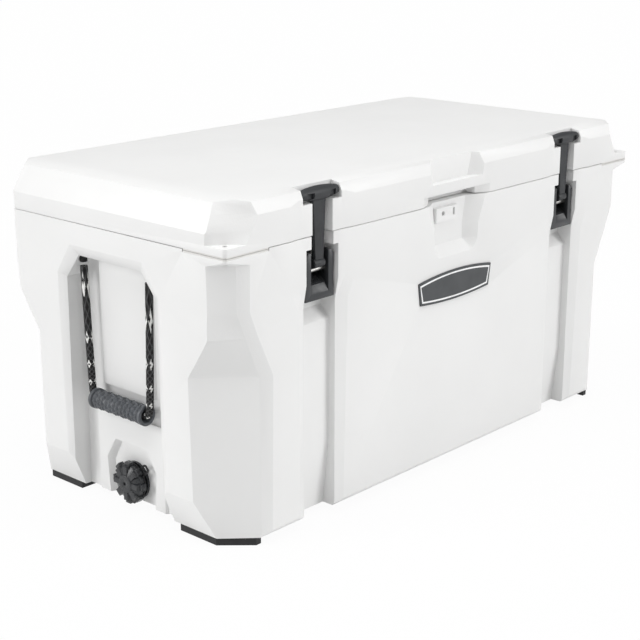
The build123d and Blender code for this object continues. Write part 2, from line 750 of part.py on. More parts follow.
# ================================================================ tub
with BuildPart() as tub_shell:
    with BuildSketch(level(FOOT_HEIGHT)):
        Rectangle(LENGTH - 2 * END_DRAFT, DEPTH - 2 * SIDE_DRAFT)
    with BuildSketch(level(TUB_TOP)):
        Rectangle(LENGTH, DEPTH)
    loft(ruled=True)
    for side_x in (-1, 1):
        for side_y in (-1, 1):
            add(tub_corner(side_x, side_y), mode=Mode.SUBTRACT)
    for cutter in base_chamfers(0):
        add(cutter, mode=Mode.SUBTRACT)
    for side in (-1, 1):
        add(hand_recess(side), mode=Mode.SUBTRACT)
        for panel in hand_panels(side):
            add(panel)
        add(rope_holes(side), mode=Mode.SUBTRACT)
        for cutter in latch_channel(side * LATCH_OFFSET):
            add(cutter, mode=Mode.SUBTRACT)
    add(centre_recess(), mode=Mode.SUBTRACT)
    boss, boss_holes = centre_boss()
    add(boss)
    add(boss_holes, mode=Mode.SUBTRACT)
    add(octagon_pocket(), mode=Mode.SUBTRACT)
    add(hinge_relief(-1), mode=Mode.SUBTRACT)
    add(TUB_FOAM_SPACE, mode=Mode.SUBTRACT)
    add(LINER_OUTSIDE, mode=Mode.SUBTRACT)
    add(LINER_FLANGE, mode=Mode.SUBTRACT)
    add(drain_cylinder(SPOUT_STEM_RADIUS, 40, DRAIN_REACH + 10), mode=Mode.SUBTRACT)
    add(badge_solid(0, -1, BADGE_SEAT), mode=Mode.SUBTRACT)
    for side in (-1, 1):
        add(lock_plate_seat(side), mode=Mode.SUBTRACT)
        add(keeper_screw_solid(side * LATCH_OFFSET), mode=Mode.SUBTRACT)
        add(hinge_leaf_seat(side * HINGE_OFFSET, -1), mode=Mode.SUBTRACT)
        add(tip_rounding(side, below(TAB_ROOT_DROP), TUB_TOP + 1), mode=Mode.SUBTRACT)
        for side_y in (-1, 1):
            add(foot_screw(side, side_y), mode=Mode.SUBTRACT)
write(tub_shell.part, "tub_shell")

with BuildPart() as tub_foam:
    add(TUB_FOAM_SPACE)
    add(LINER_OUTSIDE, mode=Mode.SUBTRACT)
    add(drain_cylinder(SPOUT_STEM_RADIUS + DRAIN_FIT, 40, DRAIN_REACH + 10), mode=Mode.SUBTRACT)
write(tub_foam.part, "tub_foam")

with BuildPart() as tub_liner:
    add(LINER_OUTSIDE)
    add(block((-LENGTH, LENGTH), (-DEPTH, DEPTH), (TUB_TOP, TUB_TOP + 5)), mode=Mode.SUBTRACT)
    add(LINER_FLANGE)
    add(LINER_INSIDE, mode=Mode.SUBTRACT)
    add(drain_cylinder(SPOUT_STEM_RADIUS + DRAIN_FIT, 40, DRAIN_REACH + 10), mode=Mode.SUBTRACT)
write(tub_liner.part, "tub_liner")


# ================================================================ lid
LID_FOAM_TOP = LID_TOP - LID_SKIN - 1.0
LID_OPENING_X = HALF_LENGTH - LID_FOAM_END_INSET
LID_OPENING_Y = (-HALF_DEPTH + LID_FOAM_FRONT_INSET, HALF_DEPTH - LID_FOAM_BACK_INSET)
PLUG_HALF_X = LINER_HALF_LENGTH - LINER_WALL - PLUG_CLEARANCE
PLUG_HALF_Y = LINER_HALF_DEPTH - LINER_WALL - PLUG_CLEARANCE
PLUG_HOLLOW = block(
    (-PLUG_HALF_X + 2 * LINER_WALL, PLUG_HALF_X - 2 * LINER_WALL),
    (-PLUG_HALF_Y + 2 * LINER_WALL, PLUG_HALF_Y - 2 * LINER_WALL),
    (below(PLUG_DROP) + LINER_WALL, LID_BOTTOM + LID_PANEL),
)
LID_FOAM_SPACE = block((-LID_OPENING_X, LID_OPENING_X), LID_OPENING_Y, (LID_BOTTOM + LID_PANEL, LID_FOAM_TOP))


def lid_profile(half, band, inset, crown_inset):
    top = PARTING_HEIGHT + SLOPE_TOP
    return [
        (-half, LID_BOTTOM), (-half, PARTING_HEIGHT + band), (-half + inset, top),
        (-half + crown_inset, LID_TOP), (half - crown_inset, LID_TOP),
        (half - inset, top), (half, PARTING_HEIGHT + band), (half, LID_BOTTOM),
    ]


def lid_corner(side_x, side_y):
    """Leaning facet at a lid corner; the front ones leave the lock tab below them."""
    def section(rise, end_reach, side_reach):
        pairs = [(-OUTSIDE, -OUTSIDE), (side_reach, -OUTSIDE), (-OUTSIDE, end_reach)]
        return level(PARTING_HEIGHT + rise), corner_points(side_x, side_y, pairs)

    sections = [
        section(LID_TAB_THICKNESS, 71, 71),
        section(31, 61.9, 93.3),
        section(52, 74.7, 103),
        section(SLOPE_TOP, 96, 96),
        section(LID_HEIGHT + 3, 100, 100),
    ]
    if side_y > 0:
        sections = [section(-2, 70, 70)] + sections
    return stack(sections)


def lid_latch_cutters(centre_x):
    """Shallow recess, pocket for the T-head, notch for the strap and holes for the pin."""
    flare = (CHANNEL_OUTER_HALF - CHANNEL_INNER_HALF) / CHANNEL_SHALLOW_DEPTH
    start = CHANNEL_OUTER_HALF + flare * 3
    inner = CHANNEL_INNER_HALF
    depth = CHANNEL_SHALLOW_DEPTH
    outline = front_points(centre_x, [(-start, -3), (start, -3), (inner, depth), (-inner, depth)])
    recess = prism(level(LID_BOTTOM - 1), outline, SLOPE_TOP + 1)
    pocket = block(
        (centre_x - HEAD_POCKET_HALF, centre_x + HEAD_POCKET_HALF),
        (-HALF_DEPTH - 3, HEAD_Y + HEAD_POCKET_REACH),
        (HEAD_Z - HEAD_POCKET_REACH, LID_TOP + 3),
    )
    notch = block(
        (centre_x - NOTCH_HALF, centre_x + NOTCH_HALF),
        (-HALF_DEPTH - 3, -HALF_DEPTH + NOTCH_DEPTH),
        (LID_BOTTOM - 1, HEAD_Z),
    )
    reach = HEAD_POCKET_HALF + LATCH_PIN_BITE
    pin_hole = cylinder_along(along_x(HEAD_Y, HEAD_Z), LATCH_PIN_RADIUS, centre_x - reach, centre_x + reach)
    return [recess, pocket, notch, pin_hole]


def lip_cutters():
    """Recess above the thumb lip and the finger pocket below it."""
    def section(rise, front_half, back_half):
        pairs = [
            (-front_half, -5), (front_half, -5),
            (back_half, LIP_RECESS_DEPTH), (-back_half, LIP_RECESS_DEPTH)]
        return level(PARTING_HEIGHT + rise), front_points(0, pairs)

    above = stack([section(LIP_TOP, 74.8, 45), section(LID_HEIGHT + 2, 82, 57)])
    finger = front_points(0, [
        (-96, -3), (96, -3), (FINGER_HALF, 12), (FINGER_HALF, FINGER_DEPTH),
        (-FINGER_HALF, FINGER_DEPTH), (-FINGER_HALF, 12),
    ])
    return [above, prism(level(LID_BOTTOM - 1), finger, LIP_FOOT + 1)]


with BuildPart() as lid_shell:
    end_profile = lid_profile(HALF_LENGTH, END_BAND, END_SLOPE_INSET, CROWN_END_INSET)
    add(prism(Plane.XZ, end_profile, HALF_DEPTH, True))
    add(
        prism(
            Plane.YZ, lid_profile(HALF_DEPTH, SIDE_BAND, SIDE_SLOPE_INSET, CROWN_SIDE_INSET),
            HALF_LENGTH, True),
        mode=Mode.INTERSECT,
    )
    for side_x in (-1, 1):
        for side_y in (-1, 1):
            add(lid_corner(side_x, side_y), mode=Mode.SUBTRACT)
        add(tip_rounding(side_x, LID_BOTTOM - 1, PARTING_HEIGHT + LID_TAB_THICKNESS), mode=Mode.SUBTRACT)
        for cutter in lid_latch_cutters(side_x * LATCH_OFFSET):
            add(cutter, mode=Mode.SUBTRACT)
        hole_x, hole_y = corner_points(side_x, -1, [(PLATE_HOLE_INSET, PLATE_HOLE_INSET)])[0]
        with Locations((hole_x, hole_y, LID_BOTTOM)):
            Cylinder(PLATE_HOLE_RADIUS, 40, mode=Mode.SUBTRACT)
        add(hinge_leaf_seat(side_x * HINGE_OFFSET, 1), mode=Mode.SUBTRACT)
    for cutter in lip_cutters():
        add(cutter, mode=Mode.SUBTRACT)
    add(hinge_relief(1), mode=Mode.SUBTRACT)
    add(LID_FOAM_SPACE, mode=Mode.SUBTRACT)
    add(
        block((-LID_OPENING_X, LID_OPENING_X), LID_OPENING_Y, (LID_BOTTOM - 1, LID_BOTTOM + LID_PANEL)),
        mode=Mode.SUBTRACT,
    )
write(lid_shell.part, "lid_shell")

with BuildPart() as lid_foam:
    add(LID_FOAM_SPACE)
    add(PLUG_HOLLOW)
write(lid_foam.part, "lid_foam")

GASKET_HALF_X = LINER_HALF_LENGTH + GASKET_WIDTH + 1
GASKET_HALF_Y = LINER_HALF_DEPTH + GASKET_WIDTH + 1


def gasket_ring(low, high):
    with BuildPart() as ring:
        with BuildSketch(level(low)):
            RectangleRounded(2 * GASKET_HALF_X, 2 * GASKET_HALF_Y, 12)
            RectangleRounded(
                2 * (GASKET_HALF_X - GASKET_WIDTH), 2 * (GASKET_HALF_Y - GASKET_WIDTH), 4, mode=Mode.SUBTRACT
            )
        extrude(amount=high - low)
    return ring.part


with BuildPart() as lid_liner:
    add(block((-LID_OPENING_X, LID_OPENING_X), LID_OPENING_Y, (LID_BOTTOM, LID_BOTTOM + LID_PANEL)))
    with BuildSketch(level(below(PLUG_DROP))):
        RectangleRounded(2 * PLUG_HALF_X - 8, 2 * PLUG_HALF_Y - 8, 16)
    with BuildSketch(level(LID_BOTTOM)):
        RectangleRounded(2 * PLUG_HALF_X, 2 * PLUG_HALF_Y, 16)
    loft()
    add(PLUG_HOLLOW, mode=Mode.SUBTRACT)
    add(gasket_ring(LID_BOTTOM, LID_BOTTOM + GASKET_GROOVE), mode=Mode.SUBTRACT)
write(lid_liner.part, "lid_liner")

with BuildPart() as lid_gasket:
    add(gasket_ring(TUB_TOP + GASKET_CLEARANCE, LID_BOTTOM + GASKET_GROOVE))
write(lid_gasket.part, "lid_gasket")


# ================================================================ rear hinges
def leaf(centre_x, side_z):
    """One hinge leaf: a plate on the back face, arms and knuckles round the pin."""
    def at(rise):
        return PARTING_HEIGHT + side_z * rise

    inner = [(0, KNUCKLE_HALF)] if side_z > 0 else [(KNUCKLE_HALF + KNUCKLE_GAP, HINGE_HALF)]
    spans = [(-high, high) for _, high in inner] if side_z > 0 else [
        (low, high) for low, high in inner] + [(-high, -low) for low, high in inner]
    reach = LEAF_RISE if side_z > 0 else LEAF_DROP
    arm = [
        (LEAF_FACE, at(17)), (LEAF_FACE, at(12)), (HINGE_Y + 6.5, at(0)), (HINGE_Y + 2, at(0)),
        (HINGE_Y + 2, at(5)), (LEAF_BACK, at(16)), (LEAF_BACK, at(17)),
    ]
    bore = HINGE_PIN_RADIUS + (RUNNING_FIT if side_z > 0 else 0)
    heights = LID_LEAF_SCREWS if side_z > 0 else TUB_LEAF_SCREWS
    inner_y = LID_SCREW_END if side_z > 0 else TUB_SCREW_END
    with BuildPart() as solid:
        low, high = span(at(16), at(reach))
        add(block((centre_x - HINGE_HALF, centre_x + HINGE_HALF), (LEAF_BACK, LEAF_FACE), (low, high)))
        for start, end in spans:
            add(prism(Plane.YZ.offset(centre_x + start), arm, end - start))
            add(cylinder_along(
                along_x(HINGE_Y, PARTING_HEIGHT), KNUCKLE_RADIUS, centre_x + start, centre_x + end
            ))
        add(
            cylinder_along(
                along_x(HINGE_Y, PARTING_HEIGHT), bore, centre_x - HALF_DEPTH, centre_x + HALF_DEPTH),
            mode=Mode.SUBTRACT,
        )
        add(hinge_screw_solid(centre_x, heights, inner_y), mode=Mode.SUBTRACT)
    return solid.part


for side, name in ((-1, "left"), (1, "right")):
    centre_x = side * HINGE_OFFSET
    write(leaf(centre_x, -1), f"hinge_tub_leaf_{name}")
    write(leaf(centre_x, 1), f"hinge_lid_leaf_{name}")
    pin = cylinder_along(
        along_x(HINGE_Y, PARTING_HEIGHT), HINGE_PIN_RADIUS, centre_x - HINGE_HALF, centre_x + HINGE_HALF
    )
    write(pin, f"hinge_pin_{name}")

with BuildPart() as hinge_tub_screws:
    for side in (-1, 1):
        add(hinge_screw_solid(side * HINGE_OFFSET, TUB_LEAF_SCREWS, TUB_SCREW_END))
write(hinge_tub_screws.part, "hinge_tub_screws")

with BuildPart() as hinge_lid_screws:
    for side in (-1, 1):
        add(hinge_screw_solid(side * HINGE_OFFSET, LID_LEAF_SCREWS, LID_SCREW_END))
write(hinge_lid_screws.part, "hinge_lid_screws")


# ================================================================ latches
def latch_strap(centre_x):
    """Rubber latch: barrel-shaped T-head on the lid's pin, tapering strap and hooked foot."""
    front = Plane(origin=(centre_x, HEAD_Y, HEAD_Z), x_dir=(1, 0, 0), z_dir=(0, -1, 0))
    foot = -LATCH_AXIS_RISE - STRAP_FOOT_DROP
    with BuildPart() as solid:
        with BuildSketch(front):
            with BuildLine():
                Line((-HEAD_HALF, 0), (-HEAD_HALF, HEAD_END_RADIUS))
                ThreePointArc((-HEAD_HALF, HEAD_END_RADIUS), (0, HEAD_RADIUS), (HEAD_HALF, HEAD_END_RADIUS))
                Line((HEAD_HALF, HEAD_END_RADIUS), (HEAD_HALF, 0))
                Line((HEAD_HALF, 0), (-HEAD_HALF, 0))
            make_face()
        revolve(axis=Axis((centre_x, HEAD_Y, HEAD_Z), (1, 0, 0)))
        strap = [
            (-STRAP_TOP_HALF, 0), (STRAP_TOP_HALF, 0), (STRAP_FOOT_HALF, foot), (-STRAP_FOOT_HALF, foot),
        ]
        add(prism(front, strap, STRAP_THICKNESS / 2, True))
        hook_z = HEAD_Z + foot - HOOK_RADIUS + 1
        add(cylinder_along(
            along_x(HEAD_Y + 1, hook_z), HOOK_RADIUS, centre_x - HOOK_HALF, centre_x + HOOK_HALF
        ))
        for side in (-1, 1):
            add(
                block(
                    (centre_x + side * 24 - 7, centre_x + side * 24 + 7),
                    (HEAD_Y - HEAD_RADIUS, HEAD_Y - 5),
                    (HEAD_Z - 6, HEAD_Z + 3),
                ),
                mode=Mode.SUBTRACT,
            )
        add(
            cylinder_along(
                along_x(HEAD_Y, HEAD_Z), LATCH_PIN_RADIUS + RUNNING_FIT,
                centre_x - HEAD_HALF - 1, centre_x + HEAD_HALF + 1,
            ),
            mode=Mode.SUBTRACT,
        )
    return solid.part


def keeper(centre_x):
    """Moulded keeper: two rails, a back wall, an open top and a ramp at the foot."""
    face = -HALF_DEPTH + KEEPER_FACE
    back = -HALF_DEPTH + POCKET_DEPTH
    window = [
        (face - 1, below(KEEPER_TOP_DROP) + 1), (back - KEEPER_BACK, below(KEEPER_TOP_DROP) + 1),
        (back - KEEPER_BACK, below(64)), (face + 6, below(WINDOW_FOOT_DROP)), (face - 1, below(93)),
    ]
    with BuildPart() as solid:
        with BuildSketch(Plane.XZ.offset(-face)):
            with BuildLine():
                Polyline(
                    (centre_x - KEEPER_HALF, below(KEEPER_FOOT_DROP)),
                    (centre_x - KEEPER_HALF, below(KEEPER_TOP_DROP + 7)),
                    (centre_x - KEEPER_HALF + 6, below(KEEPER_TOP_DROP)),
                    (centre_x + KEEPER_HALF - 6, below(KEEPER_TOP_DROP)),
                    (centre_x + KEEPER_HALF, below(KEEPER_TOP_DROP + 7)),
                    (centre_x + KEEPER_HALF - 1.5, below(70)),
                    (centre_x + KEEPER_HALF, below(KEEPER_FOOT_DROP)),
                    close=True,
                )
            make_face()
        extrude(amount=-(back - face))
        add(prism(Plane.YZ.offset(centre_x), window, WINDOW_HALF, True), mode=Mode.SUBTRACT)
        add(catch_bar(centre_x), mode=Mode.SUBTRACT)
        add(keeper_screw_solid(centre_x), mode=Mode.SUBTRACT)
    return solid.part


def catch_bar(centre_x):
    """Steel bar across the keeper that the latch's hook snaps over."""
    half = KEEPER_HALF - 3
    line = along_x(-HALF_DEPTH + CATCH_BAR_DEPTH, below(CATCH_BAR_DROP))
    return cylinder_along(line, CATCH_BAR_RADIUS, centre_x - half, centre_x + half)


for side, name in ((-1, "left"), (1, "right")):
    centre_x = side * LATCH_OFFSET
    reach = HEAD_POCKET_HALF + LATCH_PIN_BITE
    write(latch_strap(centre_x), f"latch_strap_{name}")
    write(
        cylinder_along(along_x(HEAD_Y, HEAD_Z), LATCH_PIN_RADIUS, centre_x - reach, centre_x + reach),
        f"latch_pin_{name}",
    )
    write(keeper(centre_x), f"latch_keeper_{name}")
    write(catch_bar(centre_x), f"catch_bar_{name}")

with BuildPart() as keeper_screws:
    for side in (-1, 1):
        add(keeper_screw_solid(side * LATCH_OFFSET))
write(keeper_screws.part, "keeper_screws")


# ================================================================ lock plates and badge
def lock_plate(side, floor):
    hole_x, hole_y = corner_points(side, -1, [(PLATE_HOLE_INSET, PLATE_HOLE_INSET)])[0]
    with BuildPart() as plate:
        add(prism(level(floor), lock_plate_outline(side), PLATE_THICKNESS))
        with Locations((hole_x, hole_y, floor)):
            Cylinder(PLATE_HOLE_RADIUS, 20, mode=Mode.SUBTRACT)
    return plate.part


for side, name in ((-1, "left"), (1, "right")):
    write(lock_plate(side, LOCK_PLATE_FLOOR), f"lock_plate_tub_{name}")
    write(lock_plate(side, LID_BOTTOM - PLATE_THICKNESS), f"lock_plate_lid_{name}")


with BuildPart() as badge_border:
    add(badge_solid(BORDER_INSET, -ORNAMENT_PROUD, BORDER_DEPTH - ORNAMENT_PROUD))
    add(badge_solid(BORDER_INSET + BORDER_WIDTH, -2, 2), mode=Mode.SUBTRACT)
write(badge_border.part, "badge_border")

with BuildPart() as badge_plate:
    add(badge_solid(BADGE_EDGE, -BADGE_PROUD, BADGE_SEAT))
    add(badge_border.part, mode=Mode.SUBTRACT)
write(badge_plate.part, "badge_plate")


# ================================================================ drain
washer_end = DRAIN_REACH + WASHER_THICKNESS
write(ring_on_drain(NUT_RADIUS, SPOUT_STEM_RADIUS, DRAIN_REACH, washer_end), "drain_washer")
NUT_START = DRAIN_REACH + WASHER_THICKNESS

with BuildPart() as drain_nut:
    with BuildSketch(DRAIN_PLANE.offset(NUT_START)):
        RegularPolygon(NUT_RADIUS, 8)
        Circle(SPOUT_STEM_RADIUS, mode=Mode.SUBTRACT)
    extrude(amount=NUT_THICKNESS)
write(drain_nut.part, "drain_nut")

with BuildPart() as drain_spout:
    add(drain_cylinder(SPOUT_RADIUS, THREAD_START, DRAIN_POCKET_DEPTH))
    add(drain_cylinder(SPOUT_FLANGE_RADIUS, DRAIN_POCKET_DEPTH - SPOUT_FLANGE, DRAIN_POCKET_DEPTH))
    add(drain_cylinder(SPOUT_STEM_RADIUS, DRAIN_POCKET_DEPTH - 1, NUT_START + NUT_THICKNESS + 2))
    add(drain_cylinder(SPOUT_BORE, 0, NUT_START + NUT_THICKNESS + 5), mode=Mode.SUBTRACT)
write(drain_spout.part, "drain_spout")

with BuildPart() as drain_cap:
    with BuildSketch(Plane.XY):
        with BuildLine():
            Polyline(
                (CAP_FACE, 0), (CAP_FACE, CAP_FACE_RADIUS - 1), (CAP_FACE + 1, CAP_FACE_RADIUS),
                (CAP_FACE + 2, CAP_FACE_RADIUS), (CAP_FACE + 4, CAP_RADIUS - 6),
                (CAP_FACE + 8, CAP_RADIUS), (CAP_BACK, CAP_RADIUS), (CAP_BACK, 0),
                close=True,
            )
        make_face()
    revolve(axis=Axis.X)
    with BuildSketch(Plane.YZ.offset(CAP_FACE + CAP_LUG_START)):
        with PolarLocations((CAP_LUG_RADIUS + CAP_RADIUS - 8) / 2, CAP_LUGS):
            Rectangle(CAP_LUG_RADIUS - CAP_RADIUS + 8, CAP_LUG_WIDTH)
    extrude(amount=CAP_BACK - CAP_FACE - CAP_LUG_START - 0.5)
    with Locations(Plane.YZ.offset(CAP_BACK)):
        Hole(SPOUT_RADIUS + CAP_CLEARANCE, depth=CAP_BACK - THREAD_START + CAP_CLEARANCE)
    with Locations(Plane.YZ.offset(CAP_FACE)):
        Cylinder(3, 5, mode=Mode.SUBTRACT)
write(drain_cap.part.moved(Location((-HALF_LENGTH, 0, DRAIN_HEIGHT))), "drain_cap")

SEAL_START = CAP_BACK + TETHER_THICKNESS
TETHER_BORE = SPOUT_RADIUS + 1.0
TETHER_RADIUS = 31.0
write(ring_on_drain(SEAL_RADIUS, TETHER_BORE, SEAL_START, DRAIN_POCKET_DEPTH - SPOUT_FLANGE), "drain_seal")

with BuildPart() as drain_tether:
    with BuildSketch(DRAIN_PLANE.offset(CAP_BACK)):
        Circle(TETHER_RADIUS)
        with Locations((0, TETHER_RADIUS)):
            RectangleRounded(9, 14, 2)
        with PolarLocations(TETHER_RADIUS + 7, 1, start_angle=-42):
            RectangleRounded(22, 15, 6)
        Circle(TETHER_BORE, mode=Mode.SUBTRACT)
        with PolarLocations(TETHER_RADIUS + 10, 1, start_angle=-42):
            RectangleRounded(11, 9, 4, mode=Mode.SUBTRACT)
    extrude(amount=TETHER_THICKNESS)
write(drain_tether.part, "drain_tether")


# ================================================================ rope handles
SWING_Z = below(SWING_DROP)
GRIP_Z = below(GRIP_DROP)
CHAMBER_FLOOR = below(KNOT_DROP) - KNOT_HEIGHT / 2
ROPE_HALF = [               # Y and Z of half the rope, to the middle of the grip
    (76, 388), (73.5, 305), (71, 242), (69.1, 203.5), (67.4, 175), (40.8, 175.3), (0, 175.5)]
BEND_SHARE = 0.45           # share of the shorter run that each bend takes


def rope_x(side):
    return side * (HALF_LENGTH - ROPE_DEPTH)


def bend_radii(points):
    """Bend radius at each inner point, from its two runs and the turn between them."""
    radii = []
    for before, here, after in zip(points, points[1:], points[2:]):
        first = Vector(*here) - Vector(*before)
        second = Vector(*after) - Vector(*here)
        half_turn = math.radians(first.get_angle(second) / 2)
        radii.append(BEND_SHARE * min(first.length, second.length) / math.tan(half_turn))
    return radii


def handle_rope(side):
    """The hanging part of one rope handle, from one swing point through the grip to the other."""
    x = rope_x(side)
    route = [(x, -y, z) for y, z in ROPE_HALF] + [(x, y, z) for y, z in reversed(ROPE_HALF[:-1])]
    with BuildPart() as rope:
        with BuildLine():
            path = FilletPolyline(*route, radius=bend_radii(route))
        with BuildSketch(Plane(origin=path @ 0, z_dir=path % 0)):
            Circle(ROPE_RADIUS)
        sweep()
        with Locations((x, -ROPE_TOP_HALF, SWING_Z), (x, ROPE_TOP_HALF, SWING_Z)):
            Sphere(ROPE_RADIUS)
    return rope.part


def handle_grip(side):
    """Moulded tube grip with a flange at each end."""
    line = along_y(rope_x(side), GRIP_Z)
    with BuildPart() as grip:
        add(cylinder_along(line, GRIP_RADIUS, -GRIP_HALF, GRIP_HALF))
        for start in (-GRIP_HALF, GRIP_HALF - GRIP_FLANGE):
            add(cylinder_along(line, GRIP_FLANGE_RADIUS, start, start + GRIP_FLANGE))
        add(cylinder_along(line, GRIP_BORE, -GRIP_HALF - 1, GRIP_HALF + 1), mode=Mode.SUBTRACT)
        for end in (-1, 1):
            with BuildSketch(line.offset(end * (GRIP_HALF + 1))):
                Circle(GRIP_MOUTH)
            with BuildSketch(line.offset(end * (GRIP_HALF - GRIP_FLARE))):
                Circle(GRIP_BORE)
            loft(mode=Mode.SUBTRACT)
    return grip.part


for side, name in ((-1, "left"), (1, "right")):
    write(handle_rope(side), f"handle_rope_{name}")
    write(handle_grip(side), f"handle_grip_{name}")

with BuildPart() as rope_knots:
    for side in (-1, 1):
        for end in (-1, 1):
            with Locations((rope_x(side), end * ROPE_TOP_HALF, CHAMBER_FLOOR + KNOT_HEIGHT / 2)):
                Cylinder(KNOT_RADIUS, KNOT_HEIGHT)
            stub = CHAMBER_FLOOR - SWING_Z - ROPE_RADIUS - KNOT_CLEARANCE + 1
            with Locations((rope_x(side), end * ROPE_TOP_HALF, CHAMBER_FLOOR + 1 - stub / 2)):
                Cylinder(ROPE_RADIUS, stub)
write(rope_knots.part, "rope_knots")


# ================================================================ feet
for side_x, name_x in ((-1, "left"), (1, "right")):
    for side_y, name_y in ((-1, "front"), (1, "rear")):
        with BuildPart() as foot:
            add(prism(level(0), corner_points(side_x, side_y, FOOT_OUTLINE), FOOT_HEIGHT))
            for u, v in ((FOOT_END_INSET + FOOT_WIDTH / 2, FOOT_LENGTH - 25), (66, 35)):
                x, y = corner_points(side_x, side_y, [(u, v)])[0]
                with Locations((x, y, 0)):
                    Cylinder(SCREW_HEAD_RADIUS, 6, mode=Mode.SUBTRACT)
            add(foot_screw(side_x, side_y), mode=Mode.SUBTRACT)
        write(foot.part, f"foot_{name_y}_{name_x}")

with BuildPart() as foot_screws:
    for side_x in (-1, 1):
        for side_y in (-1, 1):
            add(foot_screw(side_x, side_y))
write(foot_screws.part, "foot_screws")
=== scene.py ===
"""Looks of the cooler chest: camera, light, rope handles, soft edges and materials."""

import math

import bmesh
import bpy
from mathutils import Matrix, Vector


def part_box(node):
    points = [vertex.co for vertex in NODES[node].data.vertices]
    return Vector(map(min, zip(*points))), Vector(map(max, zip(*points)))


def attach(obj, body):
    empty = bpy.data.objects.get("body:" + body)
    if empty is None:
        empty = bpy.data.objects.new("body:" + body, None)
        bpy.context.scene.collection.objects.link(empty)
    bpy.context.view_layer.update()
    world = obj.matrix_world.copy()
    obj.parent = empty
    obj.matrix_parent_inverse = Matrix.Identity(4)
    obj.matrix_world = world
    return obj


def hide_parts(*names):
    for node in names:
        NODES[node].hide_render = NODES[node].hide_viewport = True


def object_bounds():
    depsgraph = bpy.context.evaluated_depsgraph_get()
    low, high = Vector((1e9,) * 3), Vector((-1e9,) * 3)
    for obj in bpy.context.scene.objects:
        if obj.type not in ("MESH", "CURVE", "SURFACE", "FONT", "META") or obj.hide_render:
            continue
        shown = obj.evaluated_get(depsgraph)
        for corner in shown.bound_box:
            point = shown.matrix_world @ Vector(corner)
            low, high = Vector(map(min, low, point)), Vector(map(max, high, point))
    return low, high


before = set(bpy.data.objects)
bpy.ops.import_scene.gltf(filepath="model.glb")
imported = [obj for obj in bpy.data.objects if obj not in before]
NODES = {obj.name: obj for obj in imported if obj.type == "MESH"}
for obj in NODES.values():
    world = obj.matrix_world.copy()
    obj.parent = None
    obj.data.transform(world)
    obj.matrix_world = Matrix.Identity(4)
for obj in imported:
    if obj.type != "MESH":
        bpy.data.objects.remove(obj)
CAD_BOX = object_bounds()

# ---------------------------------------------------------------- camera
CAMERA_PLACE = Vector((-1.8389, -1.6380, 0.9444))
CAMERA_YAW = math.radians(42.44)
CAMERA_PITCH = math.radians(-16.75)
CAMERA_LENS = 80.5

camera_data = bpy.data.cameras.new("camera")
camera_data.lens = CAMERA_LENS
camera_data.sensor_width = 36
camera_data.clip_end = 200
camera = bpy.data.objects.new("camera", camera_data)
camera.location = CAMERA_PLACE
looking = Vector((
    math.cos(CAMERA_YAW) * math.cos(CAMERA_PITCH),
    math.sin(CAMERA_YAW) * math.cos(CAMERA_PITCH),
    math.sin(CAMERA_PITCH),
))
camera.rotation_euler = looking.to_track_quat("-Z", "Y").to_euler()
bpy.context.scene.collection.objects.link(camera)
bpy.context.scene.camera = camera
bpy.context.scene.view_settings.view_transform = "Standard"


# ---------------------------------------------------------------- material helpers
class Shader:
    """A node material round one Principled shader, with short calls for its nodes."""

    def __init__(self, name, color, roughness, metallic=0.0):
        self.material = bpy.data.materials.new(name)
        self.material.use_nodes = True
        self.nodes = self.material.node_tree.nodes
        self.links = self.material.node_tree.links
        self.principled = self.nodes["Principled BSDF"]
        self.principled.inputs["Base Color"].default_value = (*color, 1)
        self.principled.inputs["Roughness"].default_value = roughness
        self.principled.inputs["Metallic"].default_value = metallic
        self.place = self.nodes.new("ShaderNodeTexCoord").outputs["Object"]

    def scaled(self, factors, source=None):
        mapping = self.nodes.new("ShaderNodeMapping")
        mapping.inputs["Scale"].default_value = factors
        self.links.new(source or self.place, mapping.inputs["Vector"])
        return mapping.outputs["Vector"]

    def noise(self, scale, detail=2.0, vector=None):
        node = self.nodes.new("ShaderNodeTexNoise")
        node.inputs["Scale"].default_value = scale
        node.inputs["Detail"].default_value = detail
        self.links.new(vector or self.place, node.inputs["Vector"])
        return node.outputs["Fac"]

    def cells(self, scale, vector=None):
        node = self.nodes.new("ShaderNodeTexVoronoi")
        node.inputs["Scale"].default_value = scale
        self.links.new(vector or self.place, node.inputs["Vector"])
        return node.outputs["Distance"]

    def math(self, operation, first, second=0.0):
        node = self.nodes.new("ShaderNodeMath")
        node.operation = operation
        for socket, value in zip(node.inputs, (first, second)):
            if isinstance(value, (int, float)):
                socket.default_value = value
            else:
                self.links.new(value, socket)
        return node.outputs[0]

    def span(self, value, low, high):
        node = self.nodes.new("ShaderNodeMapRange")
        self.links.new(value, node.inputs["Value"])
        node.inputs["To Min"].default_value = low
        node.inputs["To Max"].default_value = high
        return node.outputs["Result"]

    def colors(self, value, stops):
        node = self.nodes.new("ShaderNodeValToRGB")
        ramp = node.color_ramp
        while len(ramp.elements) < len(stops):
            ramp.elements.new(0.5)
        for element, (position, color) in zip(ramp.elements, stops):
            element.position = position
            element.color = (*color, 1)
        self.links.new(value, node.inputs["Fac"])
        return node.outputs["Color"]

    def base(self, output):
        self.links.new(output, self.principled.inputs["Base Color"])

    def rough(self, output):
        self.links.new(output, self.principled.inputs["Roughness"])

    def bump(self, height, distance, strength=1.0):
        node = self.nodes.new("ShaderNodeBump")
        node.inputs["Strength"].default_value = strength
        node.inputs["Distance"].default_value = distance
        self.links.new(height, node.inputs["Height"])
        self.links.new(node.outputs["Normal"], self.principled.inputs["Normal"])


def tinted(color, factor):
    return tuple(min(1.0, c * factor) for c in color)


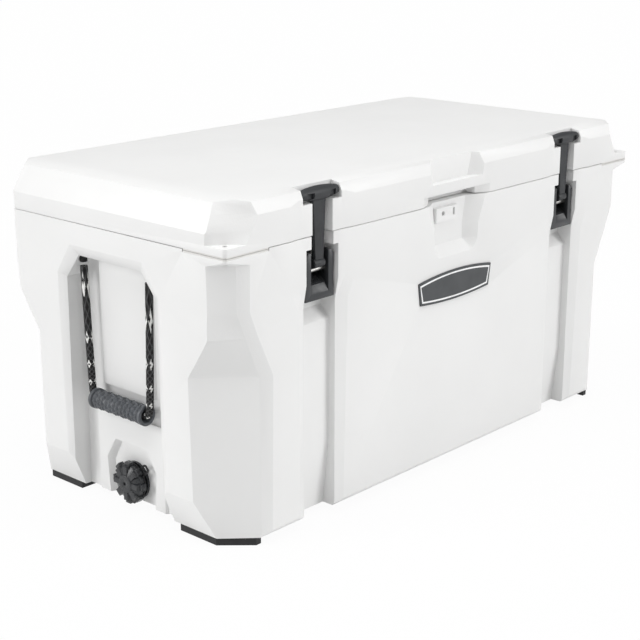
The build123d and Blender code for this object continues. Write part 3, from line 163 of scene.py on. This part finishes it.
def white_plastic(name, color):
    """Satin rotomoulded plastic: faint clouding and a fine orange peel."""
    shader = Shader(name, color, 0.42)
    cloud = shader.noise(7, 3)
    shader.base(shader.colors(cloud, [(0.3, tinted(color, 0.985)), (0.7, tinted(color, 1.01))]))
    shader.rough(shader.span(shader.noise(60, 2), 0.36, 0.5))
    peel = shader.math("ADD", shader.noise(420, 2), shader.math("MULTIPLY", shader.noise(90, 2), 1.4))
    shader.bump(peel, 0.00035, 0.35)
    return shader.material


def dark_plastic(name, color, roughness=0.42, grain=900, depth=0.00012):
    shader = Shader(name, color, roughness)
    shader.base(shader.colors(
        shader.noise(35, 3), [(0.3, tinted(color, 0.85)), (0.75, tinted(color, 1.2))],
    ))
    shader.rough(shader.span(shader.noise(140, 2), roughness - 0.07, roughness + 0.1))
    shader.bump(shader.noise(grain, 3), depth, 0.6)
    return shader.material


KEEPER_FRONT = -0.252       # Y of the keeper's face and of the back of its window
WINDOW_BACK = -0.226


def pocket_shaded_plastic(name, color):
    """Moulded plastic with painted shade: lighter at the keeper's face, darkening to near black towards
    the back of the keeper's window.
    """
    shader = Shader(name, color, 0.34)
    parts = shader.nodes.new("ShaderNodeSeparateXYZ")
    shader.links.new(shader.place, parts.inputs["Vector"])
    depth = shader.span(parts.outputs["Y"], 0.0, 1.0)
    depth.node.inputs["From Min"].default_value = KEEPER_FRONT
    depth.node.inputs["From Max"].default_value = WINDOW_BACK
    # painted shade: a little lighter at the keeper's face, then darker with depth to near black at the
    # back of the window
    shader.base(shader.colors(depth, [
        (0.0, tinted(color, 1.1)), (0.3, tinted(color, 0.6)), (0.9, tinted(color, 0.08)),
    ]))
    shader.rough(shader.span(shader.noise(140, 2), 0.28, 0.44))
    shader.bump(shader.noise(900, 3), 0.00012, 0.6)
    return shader.material


def steel(name):
    shader = Shader(name, (0.74, 0.73, 0.71), 0.38, 1.0)
    streaks = shader.noise(1, 3, shader.scaled((40, 900, 900)))
    shader.base(shader.colors(streaks, [(0.3, (0.66, 0.65, 0.63)), (0.7, (0.8, 0.79, 0.77))]))
    shader.rough(shader.span(streaks, 0.32, 0.48))
    shader.bump(streaks, 0.00004, 0.5)
    return shader.material


def foam(name):
    shader = Shader(name, (0.86, 0.79, 0.55), 0.9)
    pores = shader.cells(420)
    shader.base(shader.colors(pores, [(0.0, (0.74, 0.66, 0.42)), (0.5, (0.88, 0.82, 0.6))]))
    shader.bump(pores, 0.0006, 0.7)
    return shader.material


WHITE = (0.80, 0.80, 0.795)
CHARCOAL = (0.024, 0.026, 0.029)
BLACK = (0.012, 0.012, 0.013)

white = white_plastic("white_hdpe", WHITE)
liner_white = white_plastic("liner_white", tinted(WHITE, 1.01))
latch_rubber = dark_plastic("latch_rubber", CHARCOAL, 0.5, 1100, 0.00015)
keeper_shaded_plastic = pocket_shaded_plastic("keeper_shaded_plastic", CHARCOAL)
grip_plastic = dark_plastic("grip_plastic", tinted(CHARCOAL, 3.4), 0.34)
drain_plastic = dark_plastic("drain_plastic", tinted(CHARCOAL, 0.9), 0.27, 380, 0.0006)
badge_gray = dark_plastic("badge_gray", (0.048, 0.052, 0.056), 0.38, 600, 0.00008)
badge_white = dark_plastic("badge_white", (0.9, 0.9, 0.9), 0.32)
black_rubber = dark_plastic("black_rubber", BLACK, 0.62, 700, 0.0002)
bright_steel = steel("steel")
foam_cells = foam("foam")


def dress(material, *names):
    for name in names:
        slots = NODES[name].data.materials
        slots.clear()
        slots.append(material)


def nodes_named(*starts):
    return [name for name in NODES if name.startswith(starts)]


dress(white, "tub_shell", "lid_shell")
dress(liner_white, "tub_liner", "lid_liner")
dress(foam_cells, "tub_foam", "lid_foam")
dress(latch_rubber, *nodes_named("latch_strap"))
dress(keeper_shaded_plastic, *nodes_named("latch_keeper"))
dress(grip_plastic, *nodes_named("handle_grip"))
dress(drain_plastic, "drain_cap", "drain_spout", "drain_nut")
dress(badge_gray, "badge_plate")
dress(badge_white, "badge_border")
dress(black_rubber, *nodes_named(
    "lid_gasket", "drain_seal", "drain_washer", "drain_tether", "foot_front", "foot_rear",
))
dress(bright_steel, *nodes_named(
    "lock_plate", "hinge_", "latch_pin", "catch_bar", "keeper_screws", "foot_screws",
))


# ---------------------------------------------------------------- moulded edges
FLAT_ANGLE = 0.6            # degrees between faces that count as one flat face
WELD_DISTANCE = 1e-5


def soften(node, body, width, segments=3, angle=14.0, detail=None):
    """A copy of a CAD node with cleaner flat faces, moulded detail and rounded edges.

    The flat faces are joined up, then cut into triangles: left whole, one of them showed as
    a stray face across the tub's opening.
    """
    mesh = bmesh.new()
    mesh.from_mesh(NODES[node].data)
    bmesh.ops.remove_doubles(mesh, verts=mesh.verts, dist=WELD_DISTANCE)
    bmesh.ops.dissolve_limit(
        mesh, angle_limit=math.radians(FLAT_ANGLE), verts=mesh.verts, edges=mesh.edges, delimit={"NORMAL"},
    )
    bmesh.ops.triangulate(mesh, faces=mesh.faces)
    if detail:
        detail(mesh)
    data = bpy.data.meshes.new(f"{node}_soft")
    mesh.to_mesh(data)
    mesh.free()
    data.materials.clear()
    data.materials.append(NODES[node].data.materials[0])
    data.shade_smooth()
    piece = bpy.data.objects.new(f"{node}_soft", data)
    bpy.context.scene.collection.objects.link(piece)
    bevel = piece.modifiers.new("edges", "BEVEL")
    bevel.width = width
    bevel.segments = segments
    bevel.limit_method = "ANGLE"
    bevel.angle_limit = math.radians(angle)
    bevel.harden_normals = True
    bevel.miter_outer = "MITER_ARC"
    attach(piece, body)
    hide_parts(node)
    return piece


def frustum(mesh, centre, across, along, out, foot, top, height):
    """A low four-sided stud: foot and top are its half sizes along the first two directions."""
    rings = []
    for (half_u, half_v), rise in ((foot, 0), (top, height)):
        rings.append([
            mesh.verts.new(centre + across * (u * half_u) + along * (v * half_v) + out * rise)
            for u, v in ((-1, -1), (1, -1), (1, 1), (-1, 1))
        ])
    mesh.faces.new(rings[1])
    mesh.faces.new(reversed(rings[0]))
    for i in range(4):
        j = (i + 1) % 4
        mesh.faces.new((rings[0][i], rings[0][j], rings[1][j], rings[1][i]))


GRIP_RADIUS = 0.0135
GRIP_KNOBS = 12             # studs along the grip
GRIP_ROWS = 9               # studs round the grip
GRIP_FLANGE = 0.0075
KNOB_HALF = 0.0043
KNOB_TOP_HALF = 0.0012
KNOB_HEIGHT = 0.0029
KNOB_SINK = 0.0004


def grip_knobs(node):
    """Staggered rows of raised diamonds between the flanges of one grip."""
    low, high = (Vector(corner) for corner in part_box(node))
    centre = (low + high) / 2
    pitch = (high.y - low.y - 2 * GRIP_FLANGE) / GRIP_KNOBS

    def detail(mesh):
        for column in range(GRIP_KNOBS):
            for row in range(GRIP_ROWS):
                turn = 2 * math.pi * (row + 0.5 * (column % 2)) / GRIP_ROWS
                out = Vector((math.cos(turn), 0, math.sin(turn)))
                across = Vector((-math.sin(turn), 0, math.cos(turn)))
                along = Vector((0, 1, 0))
                place = centre + out * (GRIP_RADIUS - KNOB_SINK)
                place.y = low.y + GRIP_FLANGE + pitch * (column + 0.5)
                frustum(
                    mesh, place, (across + along).normalized(), (along - across).normalized(), out,
                    (KNOB_HALF, KNOB_HALF), (KNOB_TOP_HALF, KNOB_TOP_HALF), KNOB_HEIGHT,
                )

    return detail


CAP_RIBS = 8
CAP_RIB_PLACE = 0.0215      # middle of a rib from the cap's axis
CAP_RIB_DEPTH = 0.0255      # foot of a rib behind the end face
CAP_RIB_FOOT = (0.0085, 0.0062)
CAP_RIB_TOP = (0.0065, 0.0042)
CAP_RIB_HEIGHT = 0.0045


def cap_ribs(mesh):
    """Raised petals with grooves between them on the drain cap's face."""
    low, high = (Vector(corner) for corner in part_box("drain_cap"))
    centre = (low + high) / 2
    centre.x = CAD_BOX[0][0] + CAP_RIB_DEPTH
    for index in range(CAP_RIBS):
        turn = 2 * math.pi * index / CAP_RIBS
        radial = Vector((0, math.cos(turn), math.sin(turn)))
        tangent = Vector((0, -math.sin(turn), math.cos(turn)))
        frustum(
            mesh, centre + radial * CAP_RIB_PLACE, radial, tangent, Vector((-1, 0, 0)),
            CAP_RIB_FOOT, CAP_RIB_TOP, CAP_RIB_HEIGHT,
        )


PAD_TOP = Vector((0, -0.2312, 0.3919))      # upper and lower end of the studs on the ramp
PAD_FOOT = Vector((0, -0.2432, 0.3829))
PAD_STUDS = 5
PAD_PITCH = 0.0042
STUD_FOOT = (0.0014, 0.0012)
STUD_TOP = (0.0009, 0.0007)
STUD_HEIGHT = 0.0016


def keeper_pad(node):
    """Rows of small studs on the ramp at the foot of one keeper."""
    low, high = (Vector(corner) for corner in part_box(node))
    middle = (low.x + high.x) / 2
    along = (PAD_FOOT - PAD_TOP).normalized()
    across = Vector((1, 0, 0))
    out = along.cross(across)
    if out.y > 0:
        out = -out

    def detail(mesh):
        for row in range(PAD_STUDS):
            for column in range(PAD_STUDS):
                place = PAD_TOP.lerp(PAD_FOOT, row / (PAD_STUDS - 1))
                place.x = middle + (column - (PAD_STUDS - 1) / 2) * PAD_PITCH
                frustum(mesh, place, across, along, out, STUD_FOOT, STUD_TOP, STUD_HEIGHT)

    return detail


SHELL_ROUND = 0.004
LINER_ROUND = 0.003
LATCH_ROUND = 0.0012

soften("tub_shell", "tub", SHELL_ROUND)
soften("lid_shell", "lid", SHELL_ROUND)
soften("tub_liner", "tub", LINER_ROUND)
soften("lid_liner", "lid", LINER_ROUND)
for hand in ("left", "right"):
    soften(f"latch_strap_{hand}", f"latch_{hand}", LATCH_ROUND, 2)
    keeper = f"latch_keeper_{hand}"
    soften(keeper, "tub", 0.0004, 2, 14.0, keeper_pad(keeper))
    grip = f"handle_grip_{hand}"
    soften(grip, f"grip_{hand}", 0.0004, 1, 25.0, grip_knobs(grip))


soften("drain_cap", "drain_cap", 0.0006, 2, 25.0, cap_ribs)


# ---------------------------------------------------------------- rope handles
ROPE_RADIUS = 0.006
ROPE_LENGTH = 0.5506
ROPE_X = 0.505
ROPE_HALF = [
    (0.076, 0.388), (0.0735, 0.305), (0.071, 0.242), (0.0691, 0.2035), (0.0674, 0.175),
    (0.0408, 0.1753), (0, 0.1755),
]


LAY_LENGTH = 0.0105         # one repeat of the braid along the cord
ROPE_STRANDS = 5
FLECK_PITCH = 0.040


def braid(name):
    """Black braided cord with pale tracer diamonds at intervals, a painted highlight on the strand crowns
    and painted shade in the grooves between strands.
    """
    shader = Shader(name, (0.02, 0.02, 0.021), 0.75)
    uv = shader.nodes.new("ShaderNodeTexCoord").outputs["UV"]
    parts = shader.nodes.new("ShaderNodeSeparateXYZ")
    shader.links.new(uv, parts.inputs["Vector"])
    along = parts.outputs["X"]
    round_it = parts.outputs["Y"]
    lays = ROPE_LENGTH / LAY_LENGTH * 2 * math.pi
    strands = ROPE_STRANDS * 2 * math.pi
    run = shader.math("MULTIPLY", along, lays)
    turn = shader.math("MULTIPLY", round_it, strands)
    one = shader.math("SINE", shader.math("ADD", run, turn))
    two = shader.math("SINE", shader.math("SUBTRACT", run, turn))
    weave = shader.math("MAXIMUM", one, two)
    fleck = shader.math("FRACT", shader.math("MULTIPLY", along, ROPE_LENGTH / FLECK_PITCH))
    near = shader.math("ABSOLUTE", shader.math("SUBTRACT", fleck, 0.5))
    side = shader.math("ABSOLUTE", shader.math("SINE", shader.math("MULTIPLY", round_it, 4 * math.pi)))
    diamond = shader.math(
        "ADD", shader.math("MULTIPLY", near, 2.9), shader.math("MULTIPLY", side, 0.62))
    woven = shader.math("GREATER_THAN", weave, -0.1)
    lit = shader.math("MULTIPLY", shader.math("LESS_THAN", diamond, 0.6), woven)
    # painted highlight on the strand crowns and painted shade between strands from the weave, plus the
    # pale tracer diamonds
    shade = shader.math("ADD", shader.span(weave, 0.0, 0.45), lit)
    shader.base(shader.colors(shade, [
        (0.0, (0.003, 0.003, 0.003)), (0.3, (0.01, 0.01, 0.01)), (0.45, (0.07, 0.07, 0.072)),
        (0.95, (0.85, 0.85, 0.83)),
    ]))
    shader.bump(weave, 0.0009, 1.0)
    return shader.material


rope_braid = braid("rope_braid")
dress(rope_braid, "rope_knots")


def rope(name, side, body, node):
    """One handle's cord, down through the grip and up again."""
    route = [(side * ROPE_X, -y, z) for y, z in ROPE_HALF]
    route += [(side * ROPE_X, y, z) for y, z in reversed(ROPE_HALF[:-1])]
    curve = bpy.data.curves.new(name, "CURVE")
    curve.dimensions = "3D"
    spline = curve.splines.new("NURBS")
    spline.points.add(len(route) - 1)
    for point, place in zip(spline.points, route):
        point.co = (*place, 1)
    spline.order_u = 3
    spline.use_endpoint_u = True
    spline.resolution_u = 24
    curve.bevel_depth = ROPE_RADIUS
    curve.bevel_resolution = 6
    curve.use_fill_caps = True
    curve.materials.append(rope_braid)
    piece = bpy.data.objects.new(name, curve)
    bpy.context.scene.collection.objects.link(piece)
    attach(piece, body)
    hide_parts(node)
    return piece


rope("handle_cord_left", -1, "handle_left", "handle_rope_left")
rope("handle_cord_right", 1, "handle_right", "handle_rope_right")


# ---------------------------------------------------------------- floor and light
def floor_material():
    shader = Shader("floor_white", (0.75, 0.75, 0.75), 0.9)
    nodes, links = shader.nodes, shader.links
    glow = nodes.new("ShaderNodeEmission")
    glow.inputs["Strength"].default_value = 1.0
    path = nodes.new("ShaderNodeLightPath")
    seen = shader.math("MAXIMUM", path.outputs["Is Camera Ray"], path.outputs["Is Glossy Ray"])
    seen = shader.math("MAXIMUM", seen, path.outputs["Is Transmission Ray"])
    blend = nodes.new("ShaderNodeMixShader")
    links.new(shader.math("MULTIPLY", seen, 0.95), blend.inputs["Fac"])
    links.new(shader.principled.outputs["BSDF"], blend.inputs[1])
    links.new(glow.outputs["Emission"], blend.inputs[2])
    links.new(blend.outputs["Shader"], nodes["Material Output"].inputs["Surface"])
    return shader.material


FLOOR_HALF = 60.0
FLOOR_Z = -0.0005
floor_mesh = bpy.data.meshes.new("floor")
corners = [(x * FLOOR_HALF, y * FLOOR_HALF, FLOOR_Z) for x, y in ((-1, -1), (1, -1), (1, 1), (-1, 1))]
floor_mesh.from_pydata(corners, [], [(0, 1, 2, 3)])
floor_mesh.materials.append(floor_material())
floor = bpy.data.objects.new("floor", floor_mesh)
bpy.context.scene.collection.objects.link(floor)

world = bpy.data.worlds.new("studio")
bpy.context.scene.world = world
world.use_nodes = True
backdrop = world.node_tree.nodes["Background"]
world_path = world.node_tree.nodes.new("ShaderNodeLightPath")
world_level = world.node_tree.nodes.new("ShaderNodeMapRange")
world_level.inputs["To Min"].default_value = 0.32
world_level.inputs["To Max"].default_value = 1.0
world.node_tree.links.new(world_path.outputs["Is Camera Ray"], world_level.inputs["Value"])
world.node_tree.links.new(world_level.outputs["Result"], backdrop.inputs["Strength"])
backdrop.inputs["Color"].default_value = (1, 1, 1, 1)


def sun(name, source, strength, spread):
    """A soft distant lamp shining from a direction."""
    data = bpy.data.lights.new(name, "SUN")
    data.energy = strength
    data.angle = math.radians(spread)
    lamp = bpy.data.objects.new(name, data)
    lamp.rotation_euler = (-Vector(source)).to_track_quat("-Z", "Y").to_euler()
    bpy.context.scene.collection.objects.link(lamp)


sun("end_light", (-0.80, 0.50, 0.36), 1.5, 30)
sun("front_light", (0.50, -0.80, 0.36), 1.3, 30)
sun("top_light", (-0.1, -0.1, 1.0), 1.85, 60)
